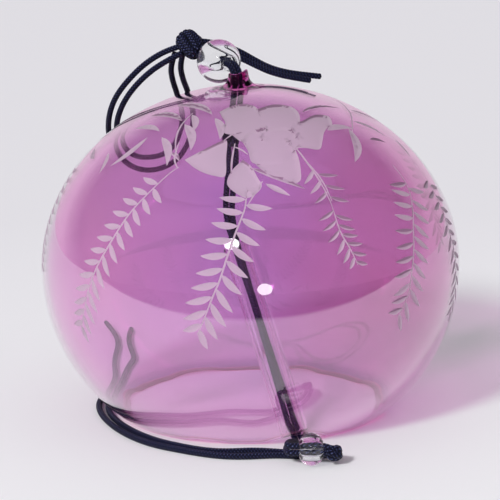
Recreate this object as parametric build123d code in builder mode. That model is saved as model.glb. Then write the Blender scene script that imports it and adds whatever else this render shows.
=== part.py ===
from build123d import *
from math import cos, pi, radians, sin, sqrt, tan
import os

os.makedirs("parts", exist_ok=True)

# Millimetres. The origin is the centre of the mouth on the table, +Z up, and the viewer looks along +Y.

# Glass bell: a wide blown globe, mouth down
bell_radius = 55.0
equator_height = 38.6
crown_height = 86.2
mouth_radius = 35.5
glass_wall = 1.4

# Neck: the pinched nozzle on the crown, a little off the bell's axis
neck_x = -2.4
neck_height = 3.7
neck_tip_radius = 2.8
neck_foot_radius = 4.9
neck_waist_radius = 3.2
neck_edge_round = 0.3
neck_sink_share = 0.6

# Rim: flat lands on the table between shallow hollows left by the hand cutting
rim_hollow_depth = 0.6
rim_hollow_width = 14.0
rim_hollow_width_shares = [1.1, 0.8, 1.25, 0.9, 1.15, 0.85, 0.9]
rim_hollow_angles = [18, 66, 118, 168, 206, 250, 334]

# The one deep hollow, where the doubled cord passes under the rim
cord_hollow_depth = 2.6
cord_hollow_width = 16.0
cord_hollow_angle = -72

# Cord: round braid, doubled, so that two strands run side by side
cord_diameter = 1.6
strand_gap = 0.16
bore_clearance = 0.32
floor_gap = 0.02
end_gap = 0.3

# Clear glass beads
top_bead_radius = 5.8
top_bead_place = Vector(-7.4, 7.4, 91.65)
lower_bead_radius = 4.1
lower_bead_half_length = 3.35
lower_bead_place = Vector(13.9, -54.0, 4.2)
bead_edge_round = 0.35

# Clapper: a straight clear glass tube, its foot on the table inside the rim
tube_radius = 3.55
tube_length = 52.0
tube_lean = 33.5
tube_heading = -60.6
tube_foot_x = 10.4
tube_foot_y = -33.0
tube_foot_gap = 0.2
tube_edge_round = 0.5
tube_upper_share = 0.35
tube_lower_share = 0.7

# Knots
hanger_knot_radius = 3.4
hanger_knot_half_length = 3.9
hanger_knot_place = Vector(-14.8, 15.6, 95.2)
hanger_knot_line = Vector(-0.62, 0.55, 0.56)
inner_knot_radius = 2.4
inner_knot_half_length = 2.7
inner_knot_place = Vector(-4.5, -1.6, 73.0)
lower_knot_radius = 2.2
lower_knot_half_length = 2.5
lower_knot_place = Vector(20.3, -54.1, 3.3)

# One overrun serves every cut
overrun = 4.0

# A bend takes this share of the shorter of its two runs
bend_share = 0.45

neck_top = crown_height + neck_height
cord_radius = cord_diameter / 2
strand_shift = (cord_diameter + strand_gap) / 2
bore_radius = strand_shift + cord_radius + bore_clearance
floor_z = cord_radius + floor_gap

# The cord turns over the neck's mouth towards the top bead here
neck_turn = Vector(neck_x, 0, neck_top + bore_radius - end_gap)
crown_inside = crown_height - glass_wall
bead_line = (top_bead_place - neck_turn).normalized()

# The clapper's axis, from its head down to its foot
tube_down = Vector(
    sin(radians(tube_lean)) * cos(radians(tube_heading)),
    sin(radians(tube_lean)) * sin(radians(tube_heading)),
    -cos(radians(tube_lean)),
)
tube_foot = Vector(
    tube_foot_x, tube_foot_y, tube_radius * sin(radians(tube_lean)) + tube_foot_gap
)
tube_head = tube_foot - tube_down * tube_length


def lower_reach(radius_at_mouth, radius_at_equator):
    """Half height of the ellipse that goes from the equator to the mouth."""
    return equator_height / sqrt(1 - (radius_at_mouth / radius_at_equator) ** 2)


outer_reach = lower_reach(mouth_radius, bell_radius)
inner_radius = bell_radius - glass_wall
inner_reach = outer_reach - glass_wall


# Glass bell
neck_axis = Axis((neck_x, 0, 0), (0, 0, 1))
neck_foot_z = crown_height - glass_wall * neck_sink_share

with BuildPart() as glass_bell:
    with BuildSketch(Plane.XZ) as outside_half:
        with BuildLine():
            upper = EllipticalCenterArc(
                (0, equator_height), bell_radius, crown_height - equator_height, 0
            )
            lower = EllipticalCenterArc((0, equator_height), bell_radius, outer_reach, 270)
            Line(lower @ 0, upper @ 1)
        make_face()
    revolve(axis=Axis.Z)
    with BuildSketch(Plane((neck_x, 0, 0), (1, 0, 0), (0, -1, 0))) as neck_half:
        with BuildLine():
            Line((0, neck_foot_z), (0, neck_top))
            Line((0, neck_top), (neck_tip_radius, neck_top))
            Spline(
                (neck_tip_radius, neck_top),
                (neck_waist_radius, (neck_top + crown_height) / 2),
                (neck_foot_radius, neck_foot_z),
            )
            Line((neck_foot_radius, neck_foot_z), (0, neck_foot_z))
        make_face()
    revolve(axis=neck_axis)
    with BuildSketch(Plane.XZ) as inside_half:
        with BuildLine():
            upper = EllipticalCenterArc(
                (0, equator_height), inner_radius, crown_inside - equator_height, 0
            )
            lower = EllipticalCenterArc((0, equator_height), inner_radius, inner_reach, 270)
            Line(lower @ 0, upper @ 1)
        make_face()
    revolve(axis=Axis.Z, mode=Mode.SUBTRACT)
    split(bisect_by=Plane.XY, keep=Keep.TOP)
    with Locations(Plane((neck_x, 0, crown_inside - overrun))):
        Cylinder(
            bore_radius,
            neck_top - crown_inside + 2 * overrun,
            align=(Align.CENTER, Align.CENTER, Align.MIN),
            mode=Mode.SUBTRACT,
        )
    hollows = [(cord_hollow_angle, cord_hollow_width, cord_hollow_depth)]
    for angle, share in zip(rim_hollow_angles, rim_hollow_width_shares):
        hollows.append((angle, rim_hollow_width * share, rim_hollow_depth))
    for angle, width, depth in hollows:
        cutter_radius = (width**2 / 4 + depth**2) / (2 * depth)
        outward = (cos(radians(angle)), sin(radians(angle)), 0)
        with Locations(Plane((0, 0, depth - cutter_radius), z_dir=outward)):
            Cylinder(
                cutter_radius,
                mouth_radius + 2 * overrun,
                align=(Align.CENTER, Align.CENTER, Align.MIN),
                mode=Mode.SUBTRACT,
            )
    neck_edges = glass_bell.edges().filter_by(GeomType.CIRCLE).group_by(Axis.Z)[-1]
    fillet(neck_edges, radius=neck_edge_round)
glass_bell.part.label = "glass_bell"


def turned(plane, radius, half_length, hole_radius=0):
    """A bead or a knot: half an ellipse turned about the plane's X axis, with or without a hole."""
    with BuildPart() as lump:
        with BuildSketch(plane) as section:
            Ellipse(half_length, radius)
            with Locations((0, hole_radius - radius)):
                Rectangle(2 * half_length, 2 * radius, mode=Mode.SUBTRACT)
            if hole_radius:
                fillet(section.vertices(), radius=bead_edge_round)
        revolve(axis=Axis(plane.origin, plane.x_dir))
    return lump


def across(origin, direction):
    """A plane at the origin with its X axis along the direction."""
    level = Vector(direction.Y, -direction.X, 0)
    return Plane(origin, x_dir=direction, z_dir=level)


# Top bead and lower bead, each with its hole for the doubled cord
top_bead = turned(
    across(top_bead_place, bead_line), top_bead_radius, top_bead_radius, bore_radius
)
top_bead.part.label = "top_bead"

lower_bead = turned(
    across(lower_bead_place, Vector(1, 0, 0)),
    lower_bead_radius,
    lower_bead_half_length,
    bore_radius,
)
lower_bead.part.label = "lower_bead"

# Knots, each a rounded lump of cord
hanger_knot = turned(
    across(hanger_knot_place, hanger_knot_line),
    hanger_knot_radius,
    hanger_knot_half_length,
)
hanger_knot.part.label = "hanger_knot"

inner_knot = turned(
    across(inner_knot_place, Vector(1, 0, 0)), inner_knot_radius, inner_knot_half_length
)
inner_knot.part.label = "inner_knot"

lower_knot = turned(
    across(lower_knot_place, Vector(1, 0, 0)), lower_knot_radius, lower_knot_half_length
)
lower_knot.part.label = "lower_knot"

# Clapper tube
with BuildPart() as clapper_tube:
    with BuildSketch(Plane(tube_foot, z_dir=-tube_down)):
        Circle(tube_radius)
        Circle(bore_radius, mode=Mode.SUBTRACT)
    extrude(amount=tube_length)
    fillet(clapper_tube.edges().filter_by(GeomType.CIRCLE), radius=tube_edge_round)
clapper_tube.part.label = "clapper_tube"


def bend_radii(points):
    """Each bend as wide as the shorter of its two runs allows."""
    radii = []
    for before, corner, after in zip(points, points[1:], points[2:]):
        turn = radians((corner - before).get_angle(after - corner))
        run = min((corner - before).length, (after - corner).length)
        radii.append(bend_share * run / tan(turn / 2))
    return radii


def strand(name, points):
    """A length of cord along its route, as straight runs joined by tangent arcs."""
    points = [Vector(point) for point in points]
    radii = bend_radii(points)
    with BuildPart() as cord:
        with BuildLine() as route:
            FilletPolyline(*points, radius=radii)
        path = route.wire()
        with BuildSketch(Plane(path @ 0, z_dir=path % 0)):
            Circle(cord_radius)
        sweep(path=path)
    full = pi * cord_radius**2 * path.length
    runs = [(b - a).length for a, b in zip(points, points[1:])]
    print(
        f"{name}: length {path.length:.1f}, least radius {min(radii):.2f},",
        f"runs {min(runs):.1f} to {max(runs):.1f}, volume share {cord.part.volume / full:.4f}",
    )
    cord.part.label = name
    return cord


def beside(points, sides, shift):
    """One strand of a pair: each point moved sideways by the shift."""
    return [
        Vector(point) + Vector(side).normalized() * shift
        for point, side in zip(points, sides, strict=True)
    ]


# Hanging loop, draped over the back left of the dome
loop_outer_route = [
    (-17.0, 15.1, 95.0),
    (-20.2, 15.8, 94.0),
    (-24.0, 16.8, 92.2),
    (-28.2, 18.0, 89.2),
    (-32.4, 19.0, 85.0),
    (-35.8, 20.6, 80.4),
    (-37.7, 23.0, 75.2),
    (-38.2, 27.2, 69.6),
    (-37.2, 33.0, 64.4),
    (-34.6, 38.8, 60.0),
    (-30.4, 43.6, 57.2),
    (-25.2, 46.8, 57.0),
    (-20.2, 47.8, 59.8),
    (-17.2, 45.8, 65.0),
    (-15.9, 41.6, 70.6),
    (-15.6, 36.0, 75.8),
    (-16.1, 29.8, 80.6),
    (-16.8, 23.8, 85.0),
    (-16.8, 19.8, 89.4),
    (-15.9, 17.4, 93.0),
]
loop_inner_route = [
    (-17.0, 14.3, 93.2),
    (-20.4, 15.2, 91.5),
    (-25.4, 16.7, 88.4),
    (-29.9, 18.2, 84.2),
    (-33.3, 20.0, 79.6),
    (-35.3, 22.6, 74.8),
    (-36.0, 27.0, 70.4),
    (-35.3, 32.2, 66.4),
    (-33.2, 37.6, 63.0),
    (-29.4, 42.4, 61.2),
    (-24.8, 45.2, 61.4),
    (-21.2, 45.0, 64.4),
    (-19.3, 42.2, 69.4),
    (-18.7, 37.0, 74.6),
    (-19.0, 31.0, 79.6),
    (-19.5, 25.2, 84.4),
    (-19.4, 20.8, 88.8),
    (-18.0, 18.3, 92.6),
]

# Two cut tails of the hanger knot, behind the top bead and out over the crown
top_tail_a_route = [
    (-12.2, 15.5, 96.0),
    (-9.0, 15.9, 95.6),
    (-5.2, 16.0, 94.5),
    (-1.4, 15.7, 92.8),
    (2.2, 14.9, 90.7),
    (5.6, 13.8, 89.0),
    (9.4, 12.6, 87.9),
    (14.0, 11.5, 87.2),
    (19.6, 10.4, 86.7),
]
top_tail_b_route = [
    (-12.2, 15.8, 93.8),
    (-9.2, 16.2, 93.3),
    (-5.4, 16.2, 92.3),
    (-1.6, 15.2, 90.4),
    (2.0, 13.5, 88.7),
    (5.6, 12.0, 87.4),
    (9.3, 10.9, 86.7),
    (13.0, 9.6, 86.3),
    (16.8, 8.4, 85.9),
]

# Two long tails of the lower knot, on the table round the front left and away behind
floor_tail_a_route = [
    (19.2, -52.4, 2.4),
    (17.2, -50.2, 1.2),
    (14.0, -48.9, 0.86),
    (10.0, -48.3, floor_z),
    (5.4, -47.5, floor_z),
    (0.8, -47.9, floor_z),
    (-4.2, -48.2, floor_z),
    (-9.2, -47.1, floor_z),
    (-14.3, -44.5, floor_z),
    (-19.4, -41.2, floor_z),
    (-24.2, -37.8, floor_z),
    (-28.4, -33.6, floor_z),
    (-32.6, -27.6, floor_z),
    (-36.6, -19.8, floor_z),
    (-40.0, -10.0, floor_z),
    (-41.6, 0.2, floor_z),
    (-40.6, 9.0, floor_z),
    (-39.6, 17.0, floor_z),
    (-39.8, 25.4, floor_z),
    (-40.8, 34.8, floor_z),
    (-41.1, 44.6, floor_z),
    (-40.8, 54.6, floor_z),
    (-41.6, 64.8, floor_z),
    (-43.8, 75.0, floor_z),
    (-47.0, 85.2, floor_z),
]
floor_tail_b_route = [
    (20.8, -52.0, 3.2),
    (19.2, -49.4, 2.1),
    (16.2, -47.4, 1.2),
    (12.4, -46.4, 0.86),
    (8.4, -45.7, floor_z),
    (4.2, -44.2, floor_z),
    (-0.6, -43.3, floor_z),
    (-5.6, -43.8, floor_z),
    (-10.4, -43.3, floor_z),
    (-15.0, -41.0, floor_z),
    (-19.4, -37.9, floor_z),
    (-23.6, -34.5, floor_z),
    (-27.4, -30.3, floor_z),
    (-31.1, -24.8, floor_z),
    (-35.0, -17.4, floor_z),
    (-37.8, -9.2, floor_z),
    (-39.0, -0.6, floor_z),
    (-38.3, 7.4, floor_z),
    (-37.4, 15.4, floor_z),
    (-36.9, 24.6, floor_z),
    (-36.2, 34.0, floor_z),
    (-34.8, 42.6, floor_z),
    (-36.2, 51.2, floor_z),
    (-37.6, 60.4, floor_z),
    (-38.1, 69.6, floor_z),
    (-37.8, 77.6, floor_z),
]

# The pair through the top bead and down the neck, each point with the side its strands lie to
level_side = Vector(bead_line.Y, -bead_line.X, 0)
neck_route = [
    Vector(-12.6, 13.6, 93.4),
    top_bead_place + bead_line * (top_bead_radius + cord_radius),
    top_bead_place - Vector(0, 0, floor_gap),
    neck_turn,
    Vector(neck_x, 0, crown_inside + end_gap),
]
neck_sides = [level_side] * len(neck_route)

# The pair from the neck down to the clapper, through it, under the rim and through the lower bead
clapper_route = [
    Vector(neck_x, 0, crown_inside),
    Vector(-3.3, -0.7, 79.0),
    inner_knot_place,
    Vector(-4.1, -3.0, 67.2),
    Vector(-4.9, -4.7, 61.2),
    Vector(-5.5, -6.1, 55.4),
    Vector(-5.0, -7.0, 50.4),
    tube_head - tube_down * cord_diameter,
    tube_head + tube_down * (tube_length * tube_upper_share),
    tube_head + tube_down * (tube_length * tube_lower_share),
    tube_foot - tube_down * cord_radius,
    Vector(11.4, -35.1, 0.95),
    Vector(11.2, -38.8, 1.1),
    Vector(10.1, -42.4, 2.2),
    Vector(8.6, -46.2, 3.4),
    Vector(7.1, -49.6, 4.0),
    Vector(6.7, -52.4, 4.2),
    Vector(8.0, -54.2, 4.2),
    lower_bead_place - Vector(lower_bead_half_length, 0, 0),
    lower_bead_place + Vector(0, floor_gap, 0),
    lower_bead_place + Vector(lower_bead_half_length, 0, 0),
    lower_knot_place - Vector(lower_knot_half_length / 2, 0, 0),
]
clapper_sides = [
    (1, 0, 0),
    (1, 0, 0),
    (1, 0, 0),
    (1, 0.1, 0),
    (1, 0.2, 0),
    (1, 0.4, 0),
    (0.8, 0.6, -0.1),
    (0.5, 0.8, -0.3),
    (0.2, 0.86, -0.46),
    (0.5, 0.75, -0.3),
    (0.9, 0.4, 0.04),
    (1, 0.1, 0),
    (1, -0.1, 0),
    (1, -0.3, 0),
    (0.8, -0.2, 0.5),
    (0.44, 0, 0.9),
    (0, 0, 1),
    (0, 0, 1),
    (0, 0, 1),
    (0, 0, 1),
    (0, 0, 1),
    (0.3, 0, 1),
]

strands = {
    "loop_cord_outer": loop_outer_route,
    "loop_cord_inner": loop_inner_route,
    "top_tail_a": top_tail_a_route,
    "top_tail_b": top_tail_b_route,
    "neck_cord_a": beside(neck_route, neck_sides, strand_shift),
    "neck_cord_b": beside(neck_route, neck_sides, -strand_shift),
    "clapper_cord_a": beside(clapper_route, clapper_sides, strand_shift),
    "clapper_cord_b": beside(clapper_route, clapper_sides, -strand_shift),
    "floor_tail_a": floor_tail_a_route,
    "floor_tail_b": floor_tail_b_route,
}

pieces = [glass_bell, top_bead, clapper_tube, lower_bead]
pieces += [hanger_knot, inner_knot, lower_knot]
pieces += [strand(name, points) for name, points in strands.items()]

for piece in pieces:
    export_step(piece.part, f"parts/{piece.part.label}.step")
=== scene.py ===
from math import atan2, cos, hypot, pi, radians, sin, sqrt, tau

import bpy
import numpy as np
from mathutils import Matrix, Vector
from mathutils.geometry import delaunay_2d_cdt
from mathutils.kdtree import KDTree
from numpy.linalg import norm


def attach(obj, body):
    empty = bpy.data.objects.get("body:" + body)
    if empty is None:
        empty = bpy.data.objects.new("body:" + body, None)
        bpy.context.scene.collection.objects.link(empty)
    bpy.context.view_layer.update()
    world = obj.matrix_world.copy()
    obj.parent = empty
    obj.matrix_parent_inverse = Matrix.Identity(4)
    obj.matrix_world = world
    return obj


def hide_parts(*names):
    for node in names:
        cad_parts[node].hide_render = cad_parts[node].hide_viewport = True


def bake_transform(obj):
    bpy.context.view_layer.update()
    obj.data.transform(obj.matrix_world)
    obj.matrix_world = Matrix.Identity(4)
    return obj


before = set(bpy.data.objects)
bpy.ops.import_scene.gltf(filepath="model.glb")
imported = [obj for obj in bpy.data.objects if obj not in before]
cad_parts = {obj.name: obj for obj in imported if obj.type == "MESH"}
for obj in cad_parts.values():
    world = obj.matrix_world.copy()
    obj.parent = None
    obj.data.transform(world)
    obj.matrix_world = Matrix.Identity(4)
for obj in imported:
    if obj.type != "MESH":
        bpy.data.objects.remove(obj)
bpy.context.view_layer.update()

# Sizes of the glass, as in the CAD model, in metres
bell_radius = 0.055
equator_height = 0.0386
crown_reach = 0.0476
rim_reach = 0.05054
glass_wall = 0.0014
neck_x = -0.0024
neck_top = 0.0899
neck_spread = 0.007
bore_radius = 0.002
top_bead_radius = 0.0058
top_bead_place = Vector((-0.0074, 0.0074, 0.09165))
top_bead_line = Vector((-0.5598, 0.8286, 0.0056)).normalized()
lower_bead_radius = 0.0041
lower_bead_half_length = 0.00335
lower_bead_place = Vector((0.0139, -0.054, 0.0042))
tube_radius = 0.00355
tube_length = 0.052
tube_foot = Vector((0.0104, -0.033, 0.002159))
tube_down = Vector((0.27095, -0.48086, -0.83389)).normalized()
tube_head = tube_foot - tube_down * tube_length

# Sizes of the cord
cord_diameter = 0.0016
cord_radius = cord_diameter / 2
strand_gap = 0.00016
strand_shift = (cord_diameter + strand_gap) / 2
floor_z = 0.00082


# Nodes and meshes


def shader_of(material):
    """The Principled shader of a material."""
    return material.node_tree.nodes["Principled BSDF"]


def feed(material, socket, value):
    """Sets a socket, or links it where the value is a pair of a node and its output's name."""
    if isinstance(value, tuple) and isinstance(value[0], bpy.types.Node):
        node, output = value
        material.node_tree.links.new(node.outputs[output], socket)
    else:
        socket.default_value = value


def shade(material, **values):
    """Feeds a material's Principled shader; a socket's name is written with _ for a space."""
    for name, value in values.items():
        feed(material, shader_of(material).inputs[name.replace("_", " ")], value)


def principled(name, **values):
    """A new material with one Principled shader."""
    material = bpy.data.materials.new(name)
    material.use_nodes = True
    shade(material, **values)
    return material


def add_node(material, kind, *inputs, **values):
    """A new node. Inputs feed its sockets in order, values the socket or property they name."""
    node = material.node_tree.nodes.new("ShaderNode" + kind)
    fed = list(zip(node.inputs, inputs))
    for name, value in values.items():
        socket = name.replace("_", " ")
        if socket in node.inputs:
            fed.append((node.inputs[socket], value))
        else:
            setattr(node, name, value)
    for socket, value in fed:
        feed(material, socket, value)
    return node


def work_out(material, operation, *inputs):
    """The output of a Math node."""
    return add_node(material, "Math", *inputs, operation=operation), "Value"


def rising(material, value, start, full):
    """An output that goes from 0 to 1 as a value goes from start to full."""
    return add_node(material, "MapRange", Value=value, From_Min=start, From_Max=full), "Result"


def mixed(material, share, first, second):
    """The output of a mix of two colours."""
    return add_node(material, "MixRGB", Fac=share, Color1=first, Color2=second), "Color"


def noise(material, scale, detail=2.0, stretch=(1, 1, 1)):
    """The output of a noise in the object's own coordinates, stretched along an axis."""
    place = add_node(material, "TexCoord")
    mapping = add_node(material, "Mapping", Vector=(place, "Object"), Scale=stretch)
    return add_node(material, "TexNoise", Vector=(mapping, "Vector"), Scale=scale, Detail=detail), "Fac"


def ramp(material, source, stops):
    """The output of a colour ramp; stops are (position, colour)."""
    node = add_node(material, "ValToRGB", Fac=source)
    elements = node.color_ramp.elements
    while len(elements) < len(stops):
        elements.new(0.5)
    for element, (position, colour) in zip(elements, stops):
        element.position = position
        element.color = colour
    return node, "Color"


def bump(material, height, strength, distance):
    """Raises the surface of a material by an output."""
    node = add_node(material, "Bump", Height=height, Strength=strength, Distance=distance)
    shade(material, Normal=(node, "Normal"))


def let_lamps_through(material, tint):
    """Lets lamp light through a glass material, tinted, instead of a full shadow."""
    shadow_ray = (add_node(material, "LightPath"), "Is Shadow Ray")
    clear = (add_node(material, "BsdfTransparent", Color=tint), "BSDF")
    mix = add_node(material, "MixShader", shadow_ray, (shader_of(material), "BSDF"), clear)
    feed(material, material.node_tree.nodes["Material Output"].inputs["Surface"], (mix, "Shader"))


def glass(name, roughness, transmission, grain, tint, **values):
    """A glass. Grain: a noise's scale, detail and stretch, and a bump's strength and distance."""
    values = {"IOR": 1.45, **values}
    material = principled(name, Roughness=roughness, Transmission_Weight=transmission, **values)
    if grain:
        *texture, strength, distance = grain
        bump(material, noise(material, *texture), strength, distance)
    if tint:
        let_lamps_through(material, tint)
    return material


def in_scene(name, data):
    """A new object in the scene."""
    thing = bpy.data.objects.new(name, data)
    bpy.context.scene.collection.objects.link(thing)
    return thing


def mesh_object(name, points, faces, materials, face_materials=None):
    """A smooth mesh object from points and faces."""
    mesh = bpy.data.meshes.new(name)
    mesh.from_pydata(points, [], faces)
    for material in materials:
        mesh.materials.append(material)
    if face_materials:
        mesh.polygons.foreach_set("material_index", np.array(face_materials, dtype=np.int32))
    mesh.shade_smooth()
    mesh.validate()
    return in_scene(name, mesh)


def grid_faces(rows, columns, closed=False):
    """Quads between rows of points that go once round; closed joins the last row to the first."""
    faces = []
    for row in range(rows if closed else rows - 1):
        a = row * columns
        b = (row + 1) % rows * columns
        for i in range(columns):
            j = (i + 1) % columns
            faces.append((a + i, a + j, b + j, b + i))
    return faces


# The camera

camera_place = Vector((0, -0.5866, 0.171))
camera_pitch = radians(12.12)
camera_roll = radians(1.05)
frame_pixels = 500
pixel_focus = 2277.0
aim_offset = (0.3, -9.6)

forward = Vector((0, cos(camera_pitch), -sin(camera_pitch)))
level_right = Vector((1, 0, 0))
level_up = Vector((0, sin(camera_pitch), cos(camera_pitch)))
camera_right = level_right * cos(camera_roll) - level_up * sin(camera_roll)
camera_up = level_up * cos(camera_roll) + level_right * sin(camera_roll)
forward = (
    forward + (camera_up * aim_offset[1] - camera_right * aim_offset[0]) / pixel_focus
).normalized()
camera_right = forward.cross(camera_up).normalized()
camera_up = camera_right.cross(forward)

camera_data = bpy.data.cameras.new("camera")
camera_data.sensor_width = 36.0
camera_data.lens = pixel_focus / frame_pixels * camera_data.sensor_width
camera = in_scene("camera", camera_data)
camera.matrix_world = Matrix((camera_right, camera_up, -forward)).transposed().to_4x4()
camera.location = camera_place
bpy.context.scene.camera = camera

# The floor is paler in front, and to a mirror it ends a hand's width in front of the bell
floor_reach = 4.0
floor_front = -0.175
floor_fade = 0.012
# Painted light on the floor: paler near, darker far
pale_near = (0.89, 0.88, 0.905, 1)
pale_far = (0.80, 0.785, 0.82, 1)
near_y = -0.05
far_y = 0.25
dim = (0.02, 0.015, 0.03, 1)

paper = principled("floor_paper", Roughness=0.9, Specular_IOR_Level=0.1)
floor_place = (add_node(paper, "NewGeometry"), "Position")
floor_y = (add_node(paper, "SeparateXYZ", floor_place), "Y")
glossy_ray = (add_node(paper, "LightPath"), "Is Glossy Ray")
past_front = rising(paper, floor_y, floor_front - floor_fade, floor_front + floor_fade)
in_front = work_out(paper, "SUBTRACT", 1.0, past_front)
floor_dim = work_out(paper, "MULTIPLY", in_front, glossy_ray)
# Painted light: the floor's colour darkens from near to far, where the light falls off
falloff_share = rising(paper, floor_y, near_y, far_y)
floor_painted_falloff = mixed(paper, falloff_share, pale_near, pale_far)
shade(paper, Base_Color=mixed(paper, floor_dim, floor_painted_falloff, dim))

floor_corners = [(x * floor_reach, y * floor_reach, 0) for x, y in ((-1, -1), (1, -1), (1, 1), (-1, 1))]
floor = mesh_object("floor", floor_corners, [(0, 1, 2, 3)], [paper])

# The world: pale to the eye and through glass, dark in front and above to a mirror
bright_side = (0.13, 1.0, -0.9)
bright_start = 0.1
bright_full = 0.5
mirror_dark = (0.035, 0.03, 0.045, 1)
mirror_bright = (0.75, 0.55, 0.68, 1)
soft_light = (0.47, 0.47, 0.48, 1)
backdrop = (0.78, 0.765, 0.79, 1)

world = bpy.data.worlds.new("studio")
world.use_nodes = True
bpy.context.scene.world = world
world_axes = add_node(world, "SeparateXYZ", (add_node(world, "TexCoord"), "Generated"))
world_rise = work_out(world, "MAXIMUM", (world_axes, "Z"), 0.0)
upper_side = add_node(world, "CombineXYZ", (world_axes, "X"), (world_axes, "Y"), world_rise)
lean = add_node(world, "VectorMath", (upper_side, "Vector"), bright_side, operation="DOT_PRODUCT")
bright_share = rising(world, (lean, "Value"), bright_start, bright_full)
path = add_node(world, "LightPath")
mirrored = mixed(world, bright_share, mirror_dark, mirror_bright)
unseen = mixed(world, (path, "Is Glossy Ray"), soft_light, mirrored)
seen_share = work_out(world, "MAXIMUM", (path, "Is Camera Ray"), (path, "Is Transmission Ray"))
world_light = mixed(world, seen_share, unseen, backdrop)
feed(world, world.node_tree.nodes["Background"].inputs["Color"], world_light)


def add_lamp(name, kind, energy, direction, place=(0, 0, 0), **values):
    """A lamp that shines in a direction."""
    lamp_data = bpy.data.lights.new(name, kind)
    lamp_data.energy = energy
    for key, value in values.items():
        setattr(lamp_data, key, value)
    lamp = in_scene(name, lamp_data)
    lamp.location = place
    lamp.rotation_mode = "QUATERNION"
    lamp.rotation_quaternion = Vector(direction).to_track_quat("-Z", "Y")
    return lamp


# A soft sun in front, at the upper left, throws the shadow to the back right, and no mirror shows it
sun = add_lamp("key_sun", "SUN", 2.6, (0.757, 1.21, -1.0), angle=radians(10))
sun.visible_glossy = False
sun.visible_transmission = False

# Small lamps that only give the glass its sparkles
sparkle_distance = 1.2
sparkle_size = 0.16
for name, side, power in (
    ("front_sparkle", Vector((0.12, -0.98, 0.06)), 0.25),
    ("high_sparkle", Vector((-0.162, -0.818, 0.552)), 0.45),
):
    place = side * sparkle_distance + Vector((0, 0, equator_height))
    add_lamp(name, "AREA", power, -side, place, shape="DISK", size=sparkle_size)
bpy.context.scene.view_settings.view_transform = "Standard"


# Braided cord

braid_yarns = 4
braid_lay = 0.0034
braid_relief = 0.00013
braid_sides = 24
ring_gap = 0.0002
tip_length = 0.0005
tip_share = 0.02
# Painted yarn light: the share kept at a yarn's ends and on the yarns that run the second way
yarn_end_share = 0.45
second_share = 0.8
yarn_round = 0.6
yarn_contrast = 3

cord_braid = principled(
    "navy_braid", Roughness=0.6, Specular_IOR_Level=0.2, Sheen_Weight=0.03, Sheen_Roughness=0.4
)
cord_painted_light = (add_node(cord_braid, "Attribute", attribute_name="painted_yarn_light"), "Fac")
# Painted light on the yarns: painted shade in the grooves between them, rising to a painted highlight on
# their crowns
painted_yarn_light_colours = [
    (0.0, (0.002, 0.0018, 0.006, 1)),
    (0.3, (0.005, 0.005, 0.017, 1)),
    (0.6, (0.018, 0.02, 0.06, 1)),
    (0.9, (0.17, 0.20, 0.38, 1)),
]
shade(cord_braid, Base_Color=ramp(cord_braid, cord_painted_light, painted_yarn_light_colours))
bump(cord_braid, noise(cord_braid, 2600.0, 1.0), 0.35, 0.00004)


def spline_points(name, route):
    """Points read from the smooth NURBS line whose control points are the route's."""
    curve = bpy.data.curves.new(name + "_line", "CURVE")
    curve.dimensions = "3D"
    curve.resolution_u = 32
    spline = curve.splines.new("NURBS")
    spline.points.add(len(route) - 1)
    for point, place in zip(spline.points, route):
        point.co = (*place, 1)
    spline.order_u = 3
    spline.use_endpoint_u = True
    holder = bpy.data.objects.new(name + "_line", curve)
    line = bpy.data.meshes.new_from_object(holder)
    points = np.array([vertex.co for vertex in line.vertices])
    bpy.data.objects.remove(holder)
    bpy.data.curves.remove(curve)
    bpy.data.meshes.remove(line)
    return points


def even_points(points, gap):
    """Points at an even spacing along a line, and the line's length."""
    runs = norm(np.diff(points, axis=0), axis=1)
    along = np.concatenate([[0], np.cumsum(runs)])
    count = max(int(along[-1] / gap), 8) + 1
    wanted = np.linspace(0, along[-1], count)
    return np.stack([np.interp(wanted, along, points[:, k]) for k in range(3)], axis=1), along[-1]


def across_of(direction):
    """A level direction across one that isn't upright, or else one that is square to Y."""
    across = np.cross(direction, (0, 0, 1))
    return np.cross(direction, (0, 1, 0)) if norm(across) < 0.1 else across


def line_frames(points):
    """For each point of a line two directions across it, carried along without twist."""
    ahead = np.gradient(points, axis=0)
    ahead /= norm(ahead, axis=1)[:, None]
    sides = np.zeros_like(ahead)
    side = across_of(ahead[0])
    for i, direction in enumerate(ahead):
        side = side - direction * (side @ direction)
        side = side / norm(side)
        sides[i] = side
    return sides, np.cross(ahead, sides)


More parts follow.
